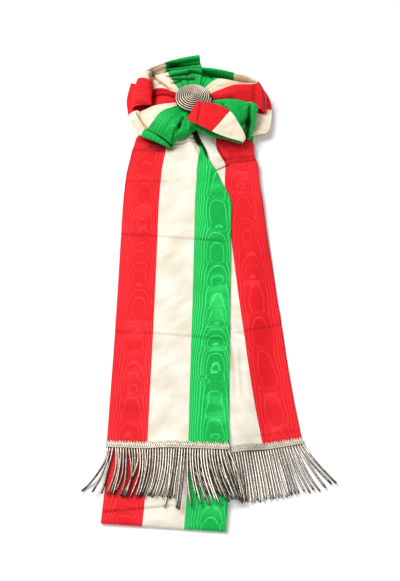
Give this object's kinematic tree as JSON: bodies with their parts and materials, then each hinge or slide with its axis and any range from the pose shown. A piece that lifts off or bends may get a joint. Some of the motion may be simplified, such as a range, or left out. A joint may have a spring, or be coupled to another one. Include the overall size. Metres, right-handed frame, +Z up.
{
  "type": "mayoral sash",
  "caption": "Tricolour ribbon sash folded flat and laid down, with a rosette, a coiled-cord button and fringed tails, worn over a shoulder or round the waist.",
  "frame": {"origin": "on the plane the sash lies on, straight below the middle of the rosette's button", "axes": "-Y down the tails towards their fringes, +X across the ribbons with the red edge of the front tail at -X, +Z up out of the plane the sash lies on"},
  "size_m": [0.2041, 0.5004, 0.0333],
  "materials": {
    "ribbon": "ribbed silk with a moire watermark, in equal red, cream and green stripes",
    "knot_cloth": "gathered and stitched ribbon",
    "bullion": "tarnished silver wire bullion",
    "button_cord": "tarnished silver cord coiled flat"
  },
  "bodies": {
    "root": {"sash_band": "ribbon", "back_tail": "ribbon", "front_tail": "ribbon", "rosette_knot": "knot_cloth", "rosette_button": "button_cord", "upper_left_loop": "ribbon", "lower_left_loop": "ribbon", "right_loop": "ribbon", "lower_right_loop": "ribbon", "front_flap": "ribbon", "front_fringe": "bullion", "back_fringe": "bullion"}
  },
  "joints": []
}
